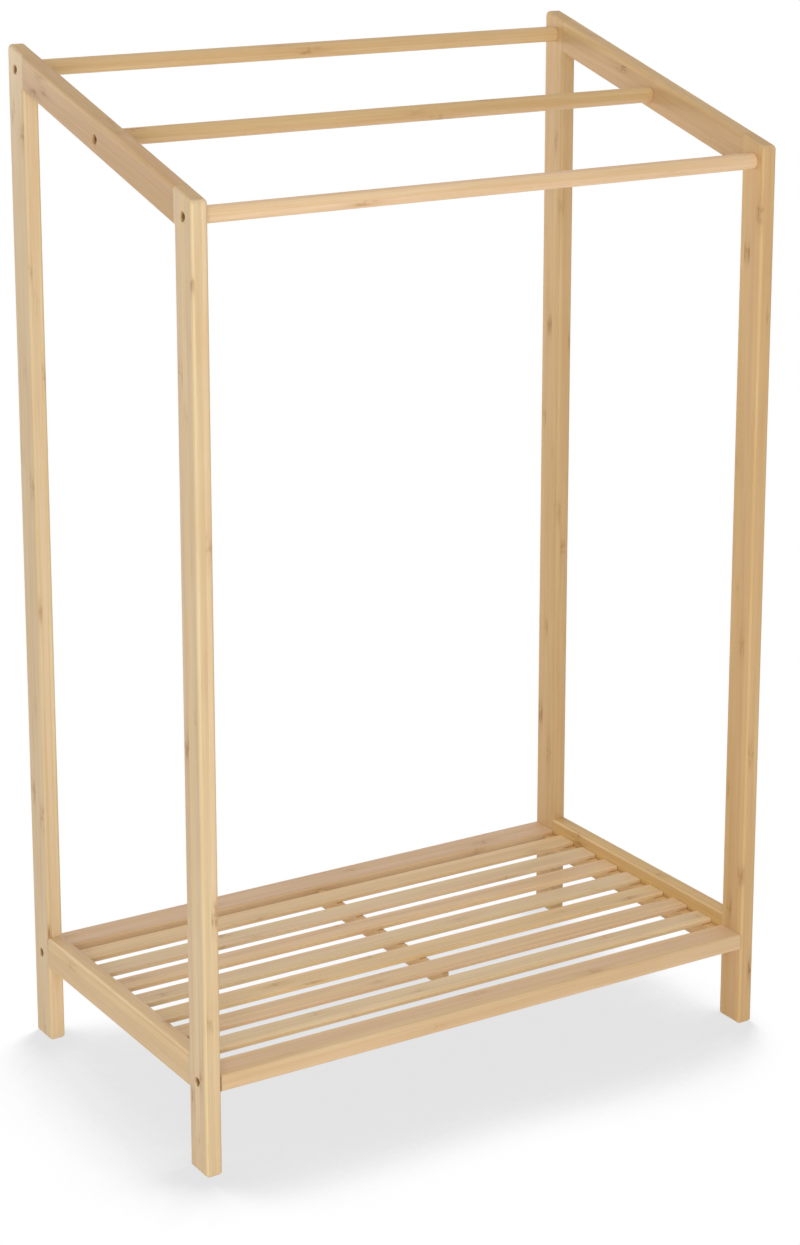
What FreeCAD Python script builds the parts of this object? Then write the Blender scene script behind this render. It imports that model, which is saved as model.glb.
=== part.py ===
# Free-standing bamboo towel rack: two side frames, three round towel bars and a slatted shelf.
# Millimetres, +Z up, front towards -Y. The origin is on the floor, under the middle of the rack.
import FreeCAD, Part
import math
import os

# Overall size
RACK_WIDTH = 500.0
RACK_DEPTH = 292.0
REAR_HEIGHT = 796.0  # of the sloped top, at the rear faces of the rear posts
FRONT_HEIGHT = 716.0  # of the sloped top, at the front faces of the front posts

# Side frames: posts and rails of one flat stock, rounded after they are joined
STOCK_THICKNESS = 13.0  # across the rack
POST_WIDTH = 26.0  # front to back
TOP_RAIL_HEIGHT = 26.0  # square to its slope
SHELF_RAIL_HEIGHT = 26.0
SHELF_RAIL_BOTTOM = 62.0  # above the floor
EDGE_ROUND = 2.5  # along every long edge of a frame
TOP_CORNER_ROUND = 4.0  # where the sloped top meets the posts
FOOT_CHAMFER = 1.5  # all round a foot

# Towel bars
BAR_DIAMETER = 12.5
BAR_BELOW_MIDDLE = 2.1  # from the middle of the top rail straight down to a bar's axis

# Shelf
SHELF_DROP = 10.0  # from the top of the shelf rails down to the slats
BOARD_DEPTH = 26.0
BOARD_THICKNESS = 13.0
BOARD_ROUND = 2.0
SLAT_COUNT = 7
SLAT_WIDTH = 20.0
SLAT_THICKNESS = 4.0
SLAT_CHAMFER = 0.8  # along a slat's four long edges
SLAT_END_CLEARANCE = 0.4  # from a slat's end to the shelf rail
END_BATTEN_WIDTH = 10.0
CENTRE_BATTEN_WIDTH = 6.0
UNCROSSED_SLATS = 1  # slats at the front that the centre batten stops short of
MORTISE_DEPTH = 8.0  # of a batten's end in a shelf board, open below
MORTISE_CLEARANCE = 0.1

# Screws through the frames into the bar ends and the board ends
SCREW_SHANK_DIAMETER = 4.8
SCREW_LENGTH = 44.0  # under the head
SCREW_HEAD_DIAMETER = 7.0
SCREW_SOCKET_WIDTH = 4.0  # across the flats of the hexagon socket
SCREW_SOCKET_DEPTH = 2.5
HEAD_RECESS = 1.0  # from the frame's outer face to the head
COUNTERBORE_DEPTH = 5.5
SCREW_CLEARANCE = 0.1  # all round the shank and past its tip
HEAD_CLEARANCE = 0.2  # all round the head

# Flat dowels in the butt joints of the frames, one to a joint
DOWEL_THICKNESS = 5.0  # across the rack
DOWEL_WIDTH = 16.0  # up the joint
DOWEL_LENGTH = 20.0
DOWEL_CLEARANCE = 0.05
DOWEL_WALL = 1.35  # wood between a dowel's end and the counterbore in the same post

# Brads from below through the battens into the slats
BRAD_WIDTH = 1.25
BRAD_THICKNESS = 1.0
BRAD_POINT = 1.2  # length of the chisel point
BRAD_COVER = 1.5  # wood left above a brad's point
BRAD_CLEARANCE = 0.05

# Worked out from the sizes above
FRONT = -RACK_DEPTH / 2
REAR = RACK_DEPTH / 2
FRONT_POST_INNER = FRONT + POST_WIDTH
REAR_POST_INNER = REAR - POST_WIDTH
FRONT_POST_MIDDLE = FRONT + POST_WIDTH / 2
REAR_POST_MIDDLE = REAR - POST_WIDTH / 2
INNER_HALF_WIDTH = RACK_WIDTH / 2 - STOCK_THICKNESS
TOP_SLOPE = (REAR_HEIGHT - FRONT_HEIGHT) / RACK_DEPTH
TOP_RAIL_DROP = TOP_RAIL_HEIGHT * math.hypot(1.0, TOP_SLOPE)
BAR_DROP = TOP_RAIL_DROP / 2 + BAR_BELOW_MIDDLE
SHELF_RAIL_TOP = SHELF_RAIL_BOTTOM + SHELF_RAIL_HEIGHT
SHELF_TOP = SHELF_RAIL_TOP - SHELF_DROP
BOARD_BOTTOM = SHELF_TOP - BOARD_THICKNESS
BOARD_MIDDLE = SHELF_TOP - BOARD_THICKNESS / 2
FRONT_BOARD_INNER = FRONT + BOARD_DEPTH
REAR_BOARD_INNER = REAR - BOARD_DEPTH
SLAT_BOTTOM = SHELF_TOP - SLAT_THICKNESS
SLAT_GAP = (REAR_BOARD_INNER - FRONT_BOARD_INNER - SLAT_COUNT * SLAT_WIDTH) / (SLAT_COUNT + 1)
SLAT_PITCH = SLAT_WIDTH + SLAT_GAP
BATTEN_BOTTOM = SHELF_RAIL_BOTTOM
CROSSED_SLATS = SLAT_COUNT - UNCROSSED_SLATS
HEAD_HEIGHT = COUNTERBORE_DEPTH - HEAD_RECESS
COUNTERBORE_RADIUS = SCREW_HEAD_DIAMETER / 2 + HEAD_CLEARANCE
SCREW_HOLE_RADIUS = SCREW_SHANK_DIAMETER / 2 + SCREW_CLEARANCE
DOWEL_IN_POST = POST_WIDTH / 2 - COUNTERBORE_RADIUS - DOWEL_WALL
BRAD_LENGTH = SHELF_TOP - BRAD_COVER - BATTEN_BOTTOM

SIDES = {"left": -1, "right": 1}
BARS = {"front": FRONT_POST_MIDDLE, "middle": 0.0, "rear": REAR_POST_MIDDLE}
BOARD_SCREWS = {"front": FRONT_POST_MIDDLE, "rear": REAR_POST_MIDDLE}
SAME_PLACE = 1e-4


def vector(x, y, z):
    return FreeCAD.Vector(x, y, z)


def box(x0, x1, y0, y1, z0, z1):
    return Part.makeBox(x1 - x0, y1 - y0, z1 - z0, vector(x0, y0, z0))


def rod(start, direction, diameter, length):
    return Part.makeCylinder(diameter / 2, length, start, direction)


def top_line(y):
    """Height of the sloped top at the depth y."""
    return FRONT_HEIGHT + TOP_SLOPE * (y - FRONT)


def bar_height(y):
    return top_line(y) - BAR_DROP


def edges_across(shape, corners):
    """The edges that run across the rack through the listed (y, z) corners of a profile."""
    found = []
    for edge in shape.Edges:
        ends = [vertex.Point for vertex in edge.Vertexes]
        for y, z in corners:
            if all(math.hypot(p.y - y, p.z - z) < SAME_PLACE for p in ends):
                found.append(edge)
    return found


def edges_on_floor(shape):
    """The edges round the feet."""
    return [edge for edge in shape.Edges if edge.BoundBox.ZMax < SAME_PLACE]


def edges_on_sides(shape, x0, x1):
    """The edges that bound the two faces at x0 and x1, apart from those on the floor."""
    found = []
    for edge in shape.Edges:
        ends = [vertex.Point.x for vertex in edge.Vertexes]
        on_side = any(all(abs(x - side) < SAME_PLACE for x in ends) for side in (x0, x1))
        if on_side and edge.BoundBox.ZMax > SAME_PLACE:
            found.append(edge)
    return found


def long_edges(bar, y0, y1, z0, z1):
    """The four long edges of a flat bar along X."""
    return edges_across(bar, [(y, z) for y in (y0, y1) for z in (z0, z1)])


def polygon(x, points):
    loop = [vector(x, y, z) for y, z in points]
    return Part.Face(Part.makePolygon(loop + loop[:1]))


def side_frame(side):
    """A whole side frame: its outline, the rounding along its edges and past the joints, and its feet."""
    x0 = min(side * RACK_WIDTH / 2, side * INNER_HALF_WIDTH)
    top_corners = [(FRONT, FRONT_HEIGHT), (REAR, REAR_HEIGHT)]
    outline = polygon(x0, [
        (FRONT, 0), (FRONT, FRONT_HEIGHT), (REAR, REAR_HEIGHT), (REAR, 0),
        (REAR_POST_INNER, 0), (REAR_POST_INNER, SHELF_RAIL_BOTTOM),
        (FRONT_POST_INNER, SHELF_RAIL_BOTTOM), (FRONT_POST_INNER, 0),
    ])
    opening = polygon(x0, [
        (FRONT_POST_INNER, SHELF_RAIL_TOP), (REAR_POST_INNER, SHELF_RAIL_TOP),
        (REAR_POST_INNER, top_line(REAR_POST_INNER) - TOP_RAIL_DROP),
        (FRONT_POST_INNER, top_line(FRONT_POST_INNER) - TOP_RAIL_DROP),
    ])
    frame = outline.cut(opening).Faces[0].extrude(vector(STOCK_THICKNESS, 0, 0))
    frame = frame.makeFillet(TOP_CORNER_ROUND, edges_across(frame, top_corners))
    frame = frame.makeFillet(EDGE_ROUND, edges_on_sides(frame, x0, x0 + STOCK_THICKNESS))
    return frame.makeChamfer(FOOT_CHAMFER, edges_on_floor(frame))


def frame_pieces(side):
    """The frame sawn at its butt joints into two posts and two rails."""
    frame = side_frame(side)
    half = RACK_WIDTH / 2
    top = max(FRONT_HEIGHT, REAR_HEIGHT)
    middle = (SHELF_RAIL_TOP + min(FRONT_HEIGHT, REAR_HEIGHT)) / 2
    cells = {
        "front_post": (FRONT, FRONT_POST_INNER, 0, top),
        "rear_post": (REAR_POST_INNER, REAR, 0, top),
        "top_rail": (FRONT_POST_INNER, REAR_POST_INNER, middle, top),
        "shelf_rail": (FRONT_POST_INNER, REAR_POST_INNER, 0, middle),
    }
    return {name: frame.common(box(-half, half, *cell)).Solids[0] for name, cell in cells.items()}


def dowel_places():
    """The depth and height of the middle of each flat dowel."""
    places = []
    for post_face, way in ((FRONT_POST_INNER, 1), (REAR_POST_INNER, -1)):
        y = post_face + way * (DOWEL_LENGTH / 2 - DOWEL_IN_POST)
        places.append((y, top_line(post_face) - TOP_RAIL_DROP / 2))
        places.append((y, SHELF_RAIL_BOTTOM + SHELF_RAIL_HEIGHT / 2))
    return places


def dowels(side, clearance):
    """The frame's flat dowels, or with a clearance the mortises that hold them."""
    x = side * (RACK_WIDTH - STOCK_THICKNESS) / 2
    room = vector(clearance, clearance, clearance)
    reach = vector(DOWEL_THICKNESS, DOWEL_LENGTH, DOWEL_WIDTH) / 2 + room
    solids = []
    for y, z in dowel_places():
        low = vector(x, y, z) - reach
        high = vector(x, y, z) + reach
        solids.append(box(low.x, high.x, low.y, high.y, low.z, high.z))
    return solids


def screw_bore(side, y, z):
    """The counterbore and the hole for one screw, from the outer face to past the screw's tip."""
    inward = vector(-side, 0, 0)
    outer = vector(side * RACK_WIDTH / 2, y, z)
    reach = COUNTERBORE_DEPTH + SCREW_LENGTH + SCREW_CLEARANCE
    counterbore = rod(outer, inward, 2 * COUNTERBORE_RADIUS, COUNTERBORE_DEPTH)
    return counterbore.fuse(rod(outer, inward, 2 * SCREW_HOLE_RADIUS, reach))


def screw(side, y, z):
    """A furniture screw with a cylinder head, a hexagon socket and a blunt end."""
    inward = vector(-side, 0, 0)
    head_face = vector(side * (RACK_WIDTH / 2 - HEAD_RECESS), y, z)
    seat = head_face + inward * HEAD_HEIGHT
    body = rod(head_face, inward, SCREW_HEAD_DIAMETER, HEAD_HEIGHT)
    body = body.fuse(rod(seat, inward, SCREW_SHANK_DIAMETER, SCREW_LENGTH))
    corner_radius = SCREW_SOCKET_WIDTH / math.sqrt(3)
    turns = [math.radians(60 * k) for k in range(6)]
    corners = [(y + corner_radius * math.cos(t), z + corner_radius * math.sin(t)) for t in turns]
    socket = polygon(head_face.x, corners).extrude(inward * SCREW_SOCKET_DEPTH)
    return body.cut(socket).removeSplitter()


def bar_screw_places():
    return [(y, bar_height(y)) for y in BARS.values()]


def board_screw_places():
    return [(y, BOARD_MIDDLE) for y in BOARD_SCREWS.values()]


def slat_rear(number):
    """The rear edge of a slat, counted from the rear."""
    return REAR_BOARD_INNER - SLAT_GAP - (number - 1) * SLAT_PITCH


def brad_places(batten_x, last_slat):
    return [(batten_x, slat_rear(number) - SLAT_WIDTH / 2) for number in range(1, last_slat + 1)]


def brads(places, clearance):
    """The brads, flat wire with a chisel point, or with a clearance the holes that they sit in."""
    half = BRAD_THICKNESS / 2 + clearance
    width = BRAD_WIDTH + 2 * clearance
    top = BATTEN_BOTTOM + BRAD_LENGTH + clearance
    shoulder = top - BRAD_POINT
    solids = []
    for x, y in places:
        front, rear = y - half, y + half
        shank = [(front, shoulder), (front, BATTEN_BOTTOM), (rear, BATTEN_BOTTOM), (rear, shoulder)]
        solids.append(polygon(x - width / 2, shank + [(y, top)]).extrude(vector(width, 0, 0)))
    return solids


def battens():
    """Each batten as its width limits, its length limits and the last slat that it carries."""
    inner = INNER_HALF_WIDTH
    front_end = FRONT_BOARD_INNER - MORTISE_DEPTH
    rear_end = REAR_BOARD_INNER + MORTISE_DEPTH
    centre_end = slat_rear(CROSSED_SLATS) - SLAT_WIDTH
    half = CENTRE_BATTEN_WIDTH / 2
    return {
        "left_end_batten": (-inner, -inner + END_BATTEN_WIDTH, front_end, rear_end, SLAT_COUNT),
        "right_end_batten": (inner - END_BATTEN_WIDTH, inner, front_end, rear_end, SLAT_COUNT),
        "centre_batten": (-half, half, centre_end, rear_end, CROSSED_SLATS),
    }


def cut_all(solid, tools):
    return solid.cut(tools).removeSplitter()


def build_frames(nodes):
    for name, side in SIDES.items():
        bores = dowels(side, DOWEL_CLEARANCE)
        bores += [screw_bore(side, y, z) for y, z in bar_screw_places() + board_screw_places()]
        for piece, solid in frame_pieces(side).items():
            nodes[f"{name}_{piece}"] = cut_all(solid, bores)
        nodes[f"{name}_frame_dowels"] = Part.makeCompound(dowels(side, 0.0))
        for kind, places in (("bar", bar_screw_places()), ("board", board_screw_places())):
            nodes[f"{name}_{kind}_screws"] = Part.makeCompound([screw(side, y, z) for y, z in places])


def build_bars(nodes):
    for name, y in BARS.items():
        z = bar_height(y)
        bar = rod(vector(-INNER_HALF_WIDTH, y, z), vector(1, 0, 0), BAR_DIAMETER, 2 * INNER_HALF_WIDTH)
        nodes[f"{name}_towel_bar"] = cut_all(bar, [screw_bore(side, y, z) for side in SIDES.values()])


def build_shelf(nodes):
    inner = INNER_HALF_WIDTH
    slat_end = inner - SLAT_END_CLEARANCE
    mortises = []
    brad_holes = []
    for name, (x0, x1, y0, y1, last_slat) in battens().items():
        places = brad_places((x0 + x1) / 2, last_slat)
        holes = brads(places, BRAD_CLEARANCE)
        batten = box(x0, x1, y0, y1, BATTEN_BOTTOM, SLAT_BOTTOM)
        nodes[name] = cut_all(batten, holes)
        nodes[f"{name}_brads"] = Part.makeCompound(brads(places, 0.0))
        brad_holes += holes
        c = MORTISE_CLEARANCE
        mortises.append(box(x0 - c, x1 + c, y0 - c, y1 + c, BATTEN_BOTTOM - c, SLAT_BOTTOM + c))
    for name, y0, y1 in (("front", FRONT, FRONT_BOARD_INNER), ("rear", REAR_BOARD_INNER, REAR)):
        board = box(-inner, inner, y0, y1, BOARD_BOTTOM, SHELF_TOP)
        board = board.makeFillet(BOARD_ROUND, long_edges(board, y0, y1, BOARD_BOTTOM, SHELF_TOP))
        bores = [screw_bore(side, BOARD_SCREWS[name], BOARD_MIDDLE) for side in SIDES.values()]
        nodes[f"{name}_shelf_board"] = cut_all(board, bores + mortises)
    for number in range(1, SLAT_COUNT + 1):
        rear = slat_rear(number)
        front = rear - SLAT_WIDTH
        slat = box(-slat_end, slat_end, front, rear, SLAT_BOTTOM, SHELF_TOP)
        slat = slat.makeChamfer(SLAT_CHAMFER, long_edges(slat, front, rear, SLAT_BOTTOM, SHELF_TOP))
        nodes[f"shelf_slat_{number}"] = cut_all(slat, brad_holes)


def main():
    os.makedirs("parts", exist_ok=True)
    nodes = {}
    build_frames(nodes)
    build_bars(nodes)
    build_shelf(nodes)
    for name, shape in nodes.items():
        shape.exportStep(f"parts/{name}.step")
        print(name, "solids", len(shape.Solids), "valid", shape.isValid(), "volume", round(shape.Volume, 1))


main()
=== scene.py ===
"""Looks of a bamboo towel rack with a slatted shelf.

Puts materials on the CAD pieces, and sets up a plain studio and the camera. Lengths are in metres, in the
frame of the CAD model: +Z up, front towards -Y. Grain patterns are worked out in millimetres.
"""
import bpy
import math
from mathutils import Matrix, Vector
from typing import NamedTuple


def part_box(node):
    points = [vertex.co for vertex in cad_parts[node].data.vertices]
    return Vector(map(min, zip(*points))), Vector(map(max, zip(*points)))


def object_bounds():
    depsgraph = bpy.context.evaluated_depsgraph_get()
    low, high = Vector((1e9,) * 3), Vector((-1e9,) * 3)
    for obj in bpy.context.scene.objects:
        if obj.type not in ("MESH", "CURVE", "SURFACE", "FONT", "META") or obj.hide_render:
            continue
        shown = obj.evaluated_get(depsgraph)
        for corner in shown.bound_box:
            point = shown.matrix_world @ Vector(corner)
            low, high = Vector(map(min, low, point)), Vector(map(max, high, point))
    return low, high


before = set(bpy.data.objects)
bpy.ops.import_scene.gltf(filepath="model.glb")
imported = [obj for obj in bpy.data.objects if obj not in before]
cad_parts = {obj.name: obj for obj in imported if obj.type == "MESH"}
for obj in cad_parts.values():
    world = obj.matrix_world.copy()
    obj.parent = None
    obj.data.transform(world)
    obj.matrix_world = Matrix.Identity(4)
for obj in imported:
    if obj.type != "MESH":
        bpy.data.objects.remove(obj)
cad_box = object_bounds()

# Camera
CAMERA_PLACE = (-1.1349, -1.8415, 1.0253)
CAMERA_HEADING = -31.748  # degrees about Z, from looking along +Y
CAMERA_TILT = 13.113  # degrees below level
CAMERA_LEVEL = 90.0  # degrees up from looking straight down
CAMERA_LENS = 83.413  # millimetres
CAMERA_SHIFT = -0.18  # picture heights

# Studio
AMBIENT = 0.35  # strength of the white surroundings as a light
FLOOR_SIZE = 40.0
FLOOR_ALBEDO = 0.80  # share of light that the floor throws back
FLOOR_GLOW = 0.20  # light from the floor itself, as in a light tent
SKY_MIDDLE = (0.41, 0.65, 0.64)  # direction of the middle of the floor's sky, to the rear right
SHADOW_WHITE = 0.77  # of the floor in full shadow
SHADOW_SKY = 0.64  # share of open sky up to which the floor is in full shadow
CLEAR_SKY = 0.84  # share of open sky from which it is plain white
SHADOW_REACH = 0.25  # how far off a piece can hide the sky from the floor
SHADOW_SAMPLES = 32
SOFTBOXES = {
    # name: (place, aim, width, height, watts)
    "key_softbox": ((-1.2, -2.1, 0.75), (-0.05, 0.0, 0.40), 1.4, 1.2, 27.5),
    "back_softbox": ((-0.7, 2.8, 0.95), (0.0, 0.0, 0.10), 1.4, 0.8, 30.0),
    "top_softbox": ((0.0, 0.0, 8.0), (0.0, 0.0, 0.0), 2.3, 4.0, 160.0),
}

# Sizes in the bamboo, in millimetres
MILLIMETRES = 1000.0  # in a metre
STRIP_WIDTH = 6.6  # of one glued strip on a broad face
LAYER_THICKNESS = 5.2  # of one glued layer
GLUE_REACH = 0.25  # to each side of a joint between two strips or layers
GRAIN_OFFSETS = (900.0, 300.0, 300.0)  # most that one strip's grain is moved along, across and through
NODE_SPACING = 270.0  # along a strip
NODE_WANDER = 7.0  # span within which a node's crossing line wanders
NODE_LINE_REACH = (0.4, 2.4)  # from a node: where its crossing line starts to fade, and where it is gone
NODE_MARKS_REACH = (2.0, 14.0)  # the same for the brown streaks beside it
NODE_GLOW_REACH = (4.0, 28.0)  # the same for the soft tan around it
END_GRAIN_CELL = 0.9  # across one fibre bundle in a cut end
SEAM_WIDTH = 0.5  # of the dark line where a piece butts against another

# Numbers that set pieces and strips apart
STRIP_SHIFT = 0.37  # strips that each unit of a piece's seed moves the pattern by
LAYER_SHIFT = 0.71  # layers that it moves the pattern by
STRIP_NUMBERING = (1.0, 17.0, 0.0)  # makes one number of a strip's place and its layer's
NODE_CONTRAST = 2.0  # power on a node's random strength, which leaves few strong ones
FRAME_SEED = 1.3
FRAME_SIDE_STEP = 4.1
FRAME_PIECE_STEP = 0.9
SHELF_SEED = 12.7
SHELF_PIECE_STEP = 1.7
DOWEL_SEED = 40.3


class Pattern(NamedTuple):
    """Noise that is drawn out along the grain, and the noise values between which it comes to show."""

    along: float  # waves in a millimetre
    across: float
    detail: float = 2.0
    faint: float = 0.25
    full: float = 0.75


# Patterns of the bamboo, and at the end of the steel
NOISE_ROUGHNESS = 0.55
STREAKS = Pattern(along=0.005, across=0.24)
FIBRES = Pattern(along=0.016, across=1.1, detail=3.0)
BUNDLES = Pattern(along=0.030, across=2.2, faint=0.58, full=0.74)
CLOUDS = Pattern(along=0.010, across=0.05, detail=1.0)
NODE_WAVES = Pattern(along=0.02, across=0.5)
NODE_STREAKS = Pattern(along=0.06, across=0.34, faint=0.42, full=0.68)
WORN_PATCHES = Pattern(along=0.6, across=0.6, detail=4.0, faint=0.48, full=0.70)
FINE_PITS = Pattern(along=4.0, across=4.0, faint=0.55, full=0.75)

# What each mask adds to the tan, the roughness and the height of the bamboo
TAN_SHARES = {"streaks": 0.50, "fibres": 0.25, "clouds": 0.25}
ROUGHNESS = {"fibres": 0.10, "bundles": 0.06, "end": 0.18, "everywhere": 0.42}
HEIGHTS = {
    "fibres": 0.35,
    "bundles": -0.35,
    "node_line": 0.50,
    "glue": -0.50,
    "end_pits": -0.80,
    "seam": -0.80,
}

# How strongly marks stain the bamboo
BUNDLE_STAIN = 0.22
NODE_GLOW_STAIN = 0.22
NODE_LINE_STAIN = 0.30
BOLD_MARKS = 0.90  # of the streaks beside a cane's nodes
SOFT_MARKS = 0.45
GLUE_STAIN = 0.22
SEAM_STAIN = 0.60
# paler rounded edges: partly sanding wear, partly a painted highlight
SANDED_AND_HIGHLIGHT_STAIN = 0.10
END_STAIN = 0.75
END_DOT_STAIN = 0.7

# Edges and cut ends, by the cosine between the surface's normal and a grain axis
SANDED_AND_HIGHLIGHT_FACING = (0.80, 0.985)  # nearest axis: paler edge wholly up to the first, not at all from the second
END_FACING = (0.80, 0.95)  # axis along the grain: no end grain up to the first, all from the second

# Fibre bundles in a cut end, one to a cell
END_CELLS = (0.02, 1.0 / END_GRAIN_CELL, 1.0 / END_GRAIN_CELL)  # in a millimetre along, across and through
END_DOT_REACH = (0.22, 0.38)  # in cells from a bundle: where its dot starts to fade, and where it is gone

# Surfaces, with bump distances in metres
GRAIN_BUMP = {"Strength": 0.30, "Distance": 0.0002}
LACQUER = {"Specular IOR Level": 0.28, "Coat Weight": 0.04, "Coat Roughness": 0.35}
STEEL_BUMP = {"Strength": 0.25, "Distance": 0.0001}
STEEL_WEAR = 0.5  # how strongly worn patches show
STEEL_PIT_ROUGHNESS = 0.18


def srgb(red, green, blue):
    """A display colour from 0 to 255 as the linear colour that shaders take."""
    def linear(value):
        value /= 255.0
        return value / 12.92 if value <= 0.04045 else ((value + 0.055) / 1.055) ** 2.4
    return (linear(red), linear(green), linear(blue), 1.0)


# Colours
WHITE = (1.0, 1.0, 1.0, 1.0)
PALE_BAMBOO = srgb(229, 201, 158)
TAN_BAMBOO = srgb(213, 178, 130)
FIBRE_BROWN = srgb(184, 142, 92)
NODE_BROWN = srgb(156, 106, 54)
GLUE_LINE = srgb(190, 152, 105)
SEAM_BROWN = srgb(150, 112, 72)
END_GRAIN = srgb(208, 174, 128)
END_GRAIN_DOT = srgb(160, 122, 80)
BRONZE = srgb(172, 134, 90)
WORN_BRONZE = srgb(192, 158, 114)
STEEL = srgb(168, 166, 162)
WORN_STEEL = srgb(205, 203, 199)

# Tints of single strips, as factors on the bamboo's colour
YELLOW_STRIP = (1.01, 1.01, 0.94, 1.0)
PINK_STRIP = (1.0, 0.97, 1.0, 1.0)
STRIP_SHADES = (0.955, 1.03)  # of the darkest and the palest strips

# Tints of whole pieces, as factors too
PLAIN = WHITE
# Paler and greyer: partly the bamboo's own tone, partly painted sheen, the glossy reflection of the lights
# on the left posts and the slat tops
PALE = (1.0, 1.05, 1.14, 1.0)
PINK = (0.98, 0.96, 1.02, 1.0)
BRIGHT = (1.11, 1.10, 1.22, 1.0)
DUSKY = (0.90, 0.87, 0.97, 1.0)
ROSY = (0.82, 0.74, 0.66, 1.0)
DEEP = (0.87, 0.80, 0.70, 1.0)
HONEY = (0.90, 0.85, 0.75, 1.0)
WARM = (0.94, 0.90, 0.81, 1.0)
AMBER = (0.89, 0.83, 0.62, 1.0)
# Lighter and warmer: painted light that brightens the battens in the shade between the slats
GOLDEN = (1.04, 1.0, 0.90, 1.0)
FRAME_TINTS = {
    # left posts: PALE is partly their own paler tone and partly painted sheen
    "left": {"front_post": PALE, "rear_post": PALE, "top_rail": ROSY, "shelf_rail": PLAIN},
    # right frame: deeper tints, partly its warmer tone and partly painted shade where the light falls off
    # towards the right
    "right": {"front_post": DEEP, "rear_post": HONEY, "top_rail": DEEP, "shelf_rail": AMBER},
}
BAR_TINTS = {"front": BRIGHT, "middle": HONEY, "rear": WARM}
BOARD_TINTS = {"front": PINK, "rear": DUSKY}
# the PALE slats are partly their own tone and partly painted sheen on their tops
SLAT_TINTS = (PLAIN, PALE, PINK, PALE, PLAIN, PINK, PALE)
BATTENS = ("left_end", "right_end", "centre")

# Axes of the model. A piece's grain axes run along its grain, across its strips and through its layers
AXIS_X = (1.0, 0.0, 0.0)
AXIS_Y = (0.0, 1.0, 0.0)
AXIS_Z = (0.0, 0.0, 1.0)
GRAIN_AXES = ("Along", "Across", "Through")


class Graph:
    """Writes shader nodes as nested calls. Each call adds its nodes and gives the last one's output."""

    def __init__(self, tree):
        self.tree = tree

    def add(self, kind, inputs=None, output=0, **settings):
        node = self.tree.nodes.new("ShaderNode" + kind)
        for name, value in settings.items():
            setattr(node, name, value)
        for key, value in (inputs or {}).items():
            self.feed(node.inputs[key], value)
        return node.outputs[output]

    def feed(self, socket, value):
        if isinstance(value, bpy.types.NodeSocket):
            self.tree.links.new(value, socket)
        else:
            socket.default_value = value

    def math(self, operation, *values):
        return self.add("Math", dict(enumerate(values)), operation=operation)

    def times(self, first, second):
        return self.math("MULTIPLY", first, second)

    def minus(self, first, second):
        return self.math("SUBTRACT", first, second)

    def total(self, *terms):
        """The sum of (factor, value) terms."""
        result = 0.0
        for factor, value in terms:
            result = self.add("Math", {0: value, 1: factor, 2: result}, operation="MULTIPLY_ADD")
        return result

    def weighted(self, weights, values):
        """The sum of the values that have weights, each times the weight of its name."""
        return self.total(*((weight, values[name]) for name, weight in weights.items()))

    def highest(self, first, *others):
        for value in others:
            first = self.math("MAXIMUM", first, value)
        return first

    def vector(self, operation, *values):
        return self.add("VectorMath", dict(enumerate(values)), operation=operation)

    def in_millimetres(self, vector):
        return self.vector("MULTIPLY", vector, (MILLIMETRES, MILLIMETRES, MILLIMETRES))

    def dot(self, first, second):
        return self.add("VectorMath", {0: first, 1: second}, output="Value", operation="DOT_PRODUCT")

    def combine(self, x, y, z):
        return self.add("CombineXYZ", {0: x, 1: y, 2: z})

    def separate(self, vector):
        node = self.add("SeparateXYZ", {0: vector}).node
        return node.outputs[0], node.outputs[1], node.outputs[2]

    def ramp(self, value, low, high, start=0.0, end=1.0):
        """Goes smoothly from start to end as the value goes from low to high."""
        limits = {"Value": value, "From Min": low, "From Max": high, "To Min": start, "To Max": end}
        return self.add("MapRange", limits, interpolation_type="SMOOTHSTEP")

    def fade(self, value, low, high):
        """1 up to the low value, and 0 from the high one."""
        return self.ramp(value, low, high, 1.0, 0.0)

    def mix(self, factor, first, second, blend="MIX"):
        """Blends two colours. The node's colour sockets are its inputs 6 and 7 and its output 2."""
        colours = {0: factor, 6: first, 7: second}
        return self.add("Mix", colours, output=2, data_type="RGBA", blend_type=blend)

    def tinted(self, colour, tint):
        return self.mix(1.0, colour, tint, "MULTIPLY")

    def stain(self, colour, stain, amount, mask):
        """The colour with up to the given amount of stain where the mask is 1."""
        return self.mix(self.times(mask, amount), colour, stain)

    def noise(self, place, pattern):
        waves = self.vector("MULTIPLY", place, (pattern.along, pattern.across, pattern.across))
        settings = {"Scale": 1.0, "Detail": pattern.detail, "Roughness": NOISE_ROUGHNESS}
        return self.add("TexNoise", {"Vector": waves, **settings})

    def show(self, place, pattern):
        """How strongly the pattern shows at a place in millimetres, from 0 to 1."""
        return self.ramp(self.noise(place, pattern), pattern.faint, pattern.full)

    def random(self, cell, output="Color"):
        return self.add("TexWhiteNoise", {"Vector": cell}, output=output)


def new_group(name, inputs, outputs):
    """An empty node group, with its graph, its input sockets by name and its output node."""
    tree = bpy.data.node_groups.new(name, "ShaderNodeTree")
    for kind, sockets in (("INPUT", inputs), ("OUTPUT", outputs)):
        for label, socket_type in sockets.items():
            tree.interface.new_socket(label, in_out=kind, socket_type="NodeSocket" + socket_type)
    entry = tree.nodes.new("NodeGroupInput")
    leave = tree.nodes.new("NodeGroupOutput")
    return tree, Graph(tree), entry.outputs, leave


def border(graph, cells, width):
    """1 on the border between two cells of a width in millimetres, and 0 past the glue's reach."""
    from_middle = graph.math("ABSOLUTE", graph.minus(graph.math("FRACT", cells), 0.5))
    from_border = graph.times(graph.minus(0.5, from_middle), width)
    return graph.fade(from_border, 0.0, GLUE_REACH)


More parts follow.
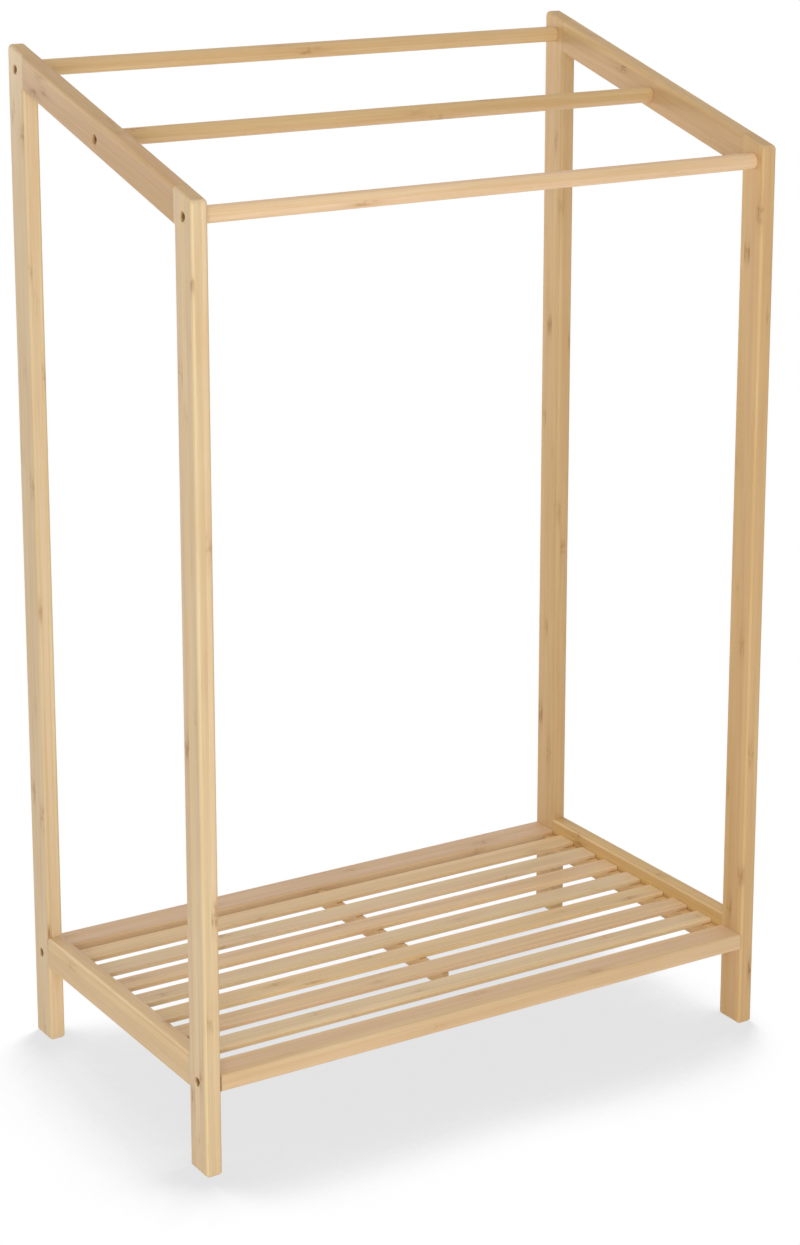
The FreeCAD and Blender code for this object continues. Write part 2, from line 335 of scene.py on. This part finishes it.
def glued_strips(graph, across, through, seed):
    """The cell of the strip that a place is in, and the glue around the strip."""
    strips = graph.total((1.0 / STRIP_WIDTH, across), (STRIP_SHIFT, seed))
    layers = graph.total((1.0 / LAYER_THICKNESS, through), (LAYER_SHIFT, seed))
    cell = graph.combine(graph.math("FLOOR", strips), graph.math("FLOOR", layers), seed)
    glue = graph.highest(border(graph, strips, STRIP_WIDTH), border(graph, layers, LAYER_THICKNESS))
    return cell, glue


def cane_nodes(graph, along, place, cell, phase):
    """The crossing line of a cane's node in a strip, the streaks beside it and the tan around it."""
    steps = graph.total((1.0 / NODE_SPACING, along), (1.0, phase))
    from_node = graph.times(graph.minus(graph.math("FRACT", steps), 0.5), NODE_SPACING)
    wander = graph.minus(graph.noise(place, NODE_WAVES), 0.5)
    distance = graph.math("ABSOLUTE", graph.total((1.0, from_node), (NODE_WANDER, wander)))
    which = graph.combine(graph.math("FLOOR", steps), graph.dot(cell, STRIP_NUMBERING), phase)
    strength = graph.math("POWER", graph.random(which, "Value"), NODE_CONTRAST)
    reaches = (NODE_LINE_REACH, NODE_MARKS_REACH, NODE_GLOW_REACH)
    line, near, glow = (graph.times(graph.fade(distance, *reach), strength) for reach in reaches)
    marks = graph.times(near, graph.show(place, NODE_STREAKS))
    return line, marks, glow


def strip_colour(graph, tone, hue, masks, marks_stain):
    """Colour of the strips, from the broad tones to the small marks."""
    colour = graph.mix(graph.weighted(TAN_SHARES, masks), PALE_BAMBOO, TAN_BAMBOO)
    colour = graph.tinted(colour, graph.mix(hue, YELLOW_STRIP, PINK_STRIP))
    shade = graph.ramp(tone, 0.0, 1.0, *STRIP_SHADES)
    colour = graph.tinted(colour, graph.combine(shade, shade, shade))
    colour = graph.stain(colour, FIBRE_BROWN, BUNDLE_STAIN, masks["bundles"])
    colour = graph.stain(colour, FIBRE_BROWN, NODE_GLOW_STAIN, masks["node_glow"])
    colour = graph.stain(colour, NODE_BROWN, NODE_LINE_STAIN, masks["node_line"])
    colour = graph.stain(colour, NODE_BROWN, marks_stain, masks["node_marks"])
    return graph.stain(colour, GLUE_LINE, GLUE_STAIN, masks["glue"])


def bamboo_group():
    """Colour, roughness and height of laminated bamboo at a place given in grain axes."""
    amounts = {"Seed": "Float", "Marks": "Float", "Seam": "Float"}
    inputs = {"Grain": "Vector", **dict.fromkeys(GRAIN_AXES, "Vector"), **amounts, "Tint": "Color"}
    outputs = {"Color": "Color", "Roughness": "Float", "Height": "Float"}
    tree, graph, given, leave = new_group("bamboo", inputs, outputs)
    grain = given["Grain"]
    along, across, through = graph.separate(grain)

    # Each strip has its own tone and its own stretch of grain
    cell, glue = glued_strips(graph, across, through, given["Seed"])
    random = graph.random(cell)
    tone, hue, phase = graph.separate(random)
    place = graph.vector("ADD", grain, graph.vector("MULTIPLY", random, GRAIN_OFFSETS))
    node_line, node_marks, node_glow = cane_nodes(graph, along, place, cell, phase)

    # Rounded edges are paler, partly from sanding and partly as a painted highlight; cut ends show the
    # fibre bundles as dots
    normal = graph.add("NewGeometry", output="Normal")
    facing = [graph.math("ABSOLUTE", graph.dot(normal, given[label])) for label in GRAIN_AXES]
    sanded_and_highlit = graph.fade(graph.highest(*facing), *SANDED_AND_HIGHLIGHT_FACING)
    end = graph.ramp(facing[0], *END_FACING)
    cells = {"Vector": graph.vector("MULTIPLY", grain, END_CELLS), "Scale": 1.0}
    dots = graph.fade(graph.add("TexVoronoi", cells, output="Distance"), *END_DOT_REACH)

    masks = {
        "everywhere": 1.0,
        "streaks": graph.show(place, STREAKS),
        "fibres": graph.show(place, FIBRES),
        "bundles": graph.show(place, BUNDLES),
        "clouds": graph.show(grain, CLOUDS),
        "node_line": node_line,
        "node_marks": node_marks,
        "node_glow": node_glow,
        "glue": glue,
        "seam": given["Seam"],
        "end": end,
        "end_pits": graph.times(dots, end),
    }
    colour = graph.tinted(strip_colour(graph, tone, hue, masks, given["Marks"]), given["Tint"])
    colour = graph.stain(colour, SEAM_BROWN, SEAM_STAIN, given["Seam"])
    # paler rounded edges, partly sanding and partly a painted highlight
    colour = graph.stain(colour, PALE_BAMBOO, SANDED_AND_HIGHLIGHT_STAIN, sanded_and_highlit)
    end_colour = graph.stain(END_GRAIN, END_GRAIN_DOT, END_DOT_STAIN, dots)
    graph.feed(leave.inputs["Color"], graph.stain(colour, end_colour, END_STAIN, end))
    graph.feed(leave.inputs["Roughness"], graph.weighted(ROUGHNESS, masks))
    graph.feed(leave.inputs["Height"], graph.weighted(HEIGHTS, masks))
    return tree


def new_material(name):
    material = bpy.data.materials.new(name)
    material.use_nodes = True
    material.node_tree.nodes.clear()
    return material, Graph(material.node_tree)


def finish_material(graph, shader):
    output = graph.tree.nodes.new("ShaderNodeOutputMaterial")
    graph.feed(output.inputs["Surface"], shader)


def bamboo(node, group, axes, seed, tint, marks, seam_axis=None):
    """Bamboo for one piece. The seam axis is the one along which its ends butt against other pieces."""
    material, graph = new_material("bamboo_" + node)
    low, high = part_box(node)
    centre = (low + high) / 2
    from_centre = graph.vector("SUBTRACT", graph.add("TexCoord", output="Object"), tuple(centre))
    place = graph.in_millimetres(from_centre)
    grain = graph.combine(*(graph.dot(place, axis) for axis in axes))
    inputs = {"Grain": grain, "Seed": seed, "Tint": tint, "Marks": marks, **dict(zip(GRAIN_AXES, axes))}
    if seam_axis:
        end = MILLIMETRES * (high - centre).dot(Vector(seam_axis))
        from_middle = graph.math("ABSOLUTE", graph.dot(place, seam_axis))
        inputs["Seam"] = graph.ramp(from_middle, end - SEAM_WIDTH, end)
    wood = graph.tree.nodes.new("ShaderNodeGroup")
    wood.node_tree = group
    for label, value in inputs.items():
        graph.feed(wood.inputs[label], value)
    shader = graph.add("BsdfPrincipled", {
        "Base Color": wood.outputs["Color"],
        "Roughness": wood.outputs["Roughness"],
        "Normal": graph.add("Bump", {"Height": wood.outputs["Height"], **GRAIN_BUMP}),
        **LACQUER,
    })
    finish_material(graph, shader)
    return material


def steel(name, colour, worn_colour, roughness, metallic):
    """Plated steel with paler worn patches and fine pits."""
    material, graph = new_material(name)
    place = graph.in_millimetres(graph.add("TexCoord", output="Object"))
    worn = graph.show(place, WORN_PATCHES)
    pits = graph.show(place, FINE_PITS)
    shader = graph.add("BsdfPrincipled", {
        "Base Color": graph.stain(colour, worn_colour, STEEL_WEAR, worn),
        "Roughness": graph.total((STEEL_PIT_ROUGHNESS, pits), (roughness, 1.0)),
        "Normal": graph.add("Bump", {"Height": graph.minus(worn, pits), **STEEL_BUMP}),
        "Metallic": metallic,
    })
    finish_material(graph, shader)
    return material


def wear(node, material):
    """Gives a piece its only material."""
    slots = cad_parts[node].data.materials
    slots.clear()
    slots.append(material)


def dress_frames(group):
    front_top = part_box("left_front_post")[1].z
    rear_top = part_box("left_rear_post")[1].z
    slope = math.atan2(rear_top - front_top, cad_box[1].y - cad_box[0].y)
    up_slope = (0.0, math.cos(slope), math.sin(slope))
    square_to_slope = (0.0, -math.sin(slope), math.cos(slope))
    kinds = {
        # kind: (grain axes, seam axis)
        "front_post": ((AXIS_Z, AXIS_Y, AXIS_X), None),
        "rear_post": ((AXIS_Z, AXIS_Y, AXIS_X), None),
        "top_rail": ((up_slope, square_to_slope, AXIS_X), AXIS_Y),
        "shelf_rail": ((AXIS_Y, AXIS_Z, AXIS_X), AXIS_Y),
    }
    for side_number, (side, tints) in enumerate(FRAME_TINTS.items()):
        for number, (kind, (axes, seam_axis)) in enumerate(kinds.items()):
            node = f"{side}_{kind}"
            seed = FRAME_SEED + FRAME_SIDE_STEP * side_number + FRAME_PIECE_STEP * number
            wear(node, bamboo(node, group, axes, seed, tints[kind], BOLD_MARKS, seam_axis))


def dress_bars_and_shelf(group):
    lengthwise = (AXIS_X, AXIS_Y, AXIS_Z)
    crosswise = (AXIS_Y, AXIS_X, AXIS_Z)
    pieces = {}
    for row, tint in BAR_TINTS.items():
        pieces[f"{row}_towel_bar"] = (lengthwise, tint, BOLD_MARKS, AXIS_X)
    for row, tint in BOARD_TINTS.items():
        pieces[f"{row}_shelf_board"] = (lengthwise, tint, SOFT_MARKS, AXIS_X)
    for number, tint in enumerate(SLAT_TINTS, 1):
        pieces[f"shelf_slat_{number}"] = (lengthwise, tint, SOFT_MARKS, None)
    for batten in BATTENS:
        # painted light: the battens are lightened against the shade between the slats
        pieces[f"{batten}_batten"] = (crosswise, GOLDEN, SOFT_MARKS, None)
    for number, (node, (axes, tint, marks, seam_axis)) in enumerate(pieces.items()):
        seed = SHELF_SEED + SHELF_PIECE_STEP * number
        wear(node, bamboo(node, group, axes, seed, tint, marks, seam_axis))


def dress_hardware(group):
    bronzed = steel("bronzed_steel", BRONZE, WORN_BRONZE, roughness=0.55, metallic=0.5)
    bright = steel("bright_steel", STEEL, WORN_STEEL, roughness=0.35, metallic=1.0)
    for side in ("left", "right"):
        for kind in ("bar_screws", "board_screws"):
            wear(f"{side}_{kind}", bronzed)
        node = f"{side}_frame_dowels"
        wear(node, bamboo(node, group, (AXIS_Y, AXIS_Z, AXIS_X), DOWEL_SEED, PALE, SOFT_MARKS))
    for batten in BATTENS:
        wear(f"{batten}_batten_brads", bright)


def seen_white(graph):
    """1 for a ray from the camera, a mirror or glass, and 0 for a ray that lights something."""
    path = graph.tree.nodes.new("ShaderNodeLightPath").outputs
    return graph.highest(path["Is Camera Ray"], path["Is Glossy Ray"], path["Is Transmission Ray"])


def make_world():
    """White to look at, and dimmer as a light."""
    world = bpy.data.worlds.new("studio")
    world.use_nodes = True
    world.node_tree.nodes.clear()
    graph = Graph(world.node_tree)
    strength = graph.ramp(seen_white(graph), 0.0, 1.0, AMBIENT, 1.0)
    background = graph.add("Background", {"Color": WHITE, "Strength": strength})
    output = graph.tree.nodes.new("ShaderNodeOutputWorld")
    graph.feed(output.inputs["Surface"], background)
    bpy.context.scene.world = world


def floor_material():
    """White with a soft shadow where the rack hides the sky from it, and clear from below."""
    material, graph = new_material("studio_floor")
    towards_sky = {"Distance": SHADOW_REACH, "Normal": graph.combine(*SKY_MIDDLE)}
    sky = graph.add("AmbientOcclusion", towards_sky, output="AO", samples=SHADOW_SAMPLES)
    strength = graph.ramp(sky, SHADOW_SKY, CLEAR_SKY, SHADOW_WHITE, 1.0)
    shown = graph.add("Emission", {"Color": WHITE, "Strength": strength})
    lit = graph.add("BsdfDiffuse", {"Color": (FLOOR_ALBEDO, FLOOR_ALBEDO, FLOOR_ALBEDO, 1.0)})
    glow = graph.add("Emission", {"Color": WHITE, "Strength": FLOOR_GLOW})
    lights = graph.add("AddShader", {0: lit, 1: glow})
    surface = graph.add("MixShader", {0: seen_white(graph), 1: lights, 2: shown})
    below = graph.add("NewGeometry", output="Backfacing")
    clear = graph.add("BsdfTransparent")
    finish_material(graph, graph.add("MixShader", {0: below, 1: surface, 2: clear}))
    return material


def make_floor():
    """A wide level sheet under the feet, which belongs to the studio."""
    half = FLOOR_SIZE / 2
    mesh = bpy.data.meshes.new("floor")
    corners = [(-half, -half, 0.0), (half, -half, 0.0), (half, half, 0.0), (-half, half, 0.0)]
    mesh.from_pydata(corners, [], [(0, 1, 2, 3)])
    mesh.materials.append(floor_material())
    floor = bpy.data.objects.new("floor", mesh)
    bpy.context.scene.collection.objects.link(floor)


def make_softbox(name, place, aim, width, height, watts):
    light = bpy.data.lights.new(name, "AREA")
    light.shape = "RECTANGLE"
    light.size = width
    light.size_y = height
    light.energy = watts
    lamp = bpy.data.objects.new(name, light)
    lamp.location = place
    lamp.rotation_euler = (Vector(aim) - Vector(place)).to_track_quat("-Z", "Y").to_euler()
    lamp.visible_camera = False
    bpy.context.scene.collection.objects.link(lamp)


def make_camera():
    lens = bpy.data.cameras.new("camera")
    lens.lens = CAMERA_LENS
    lens.shift_y = CAMERA_SHIFT
    camera = bpy.data.objects.new("camera", lens)
    camera.location = CAMERA_PLACE
    camera.rotation_euler = (math.radians(CAMERA_LEVEL - CAMERA_TILT), 0.0, math.radians(CAMERA_HEADING))
    bpy.context.scene.collection.objects.link(camera)
    bpy.context.scene.camera = camera


def main():
    bpy.context.scene.view_settings.view_transform = "Standard"
    group = bamboo_group()
    dress_frames(group)
    dress_bars_and_shelf(group)
    dress_hardware(group)
    make_world()
    make_floor()
    for name, softbox in SOFTBOXES.items():
        make_softbox(name, *softbox)
    make_camera()


main()
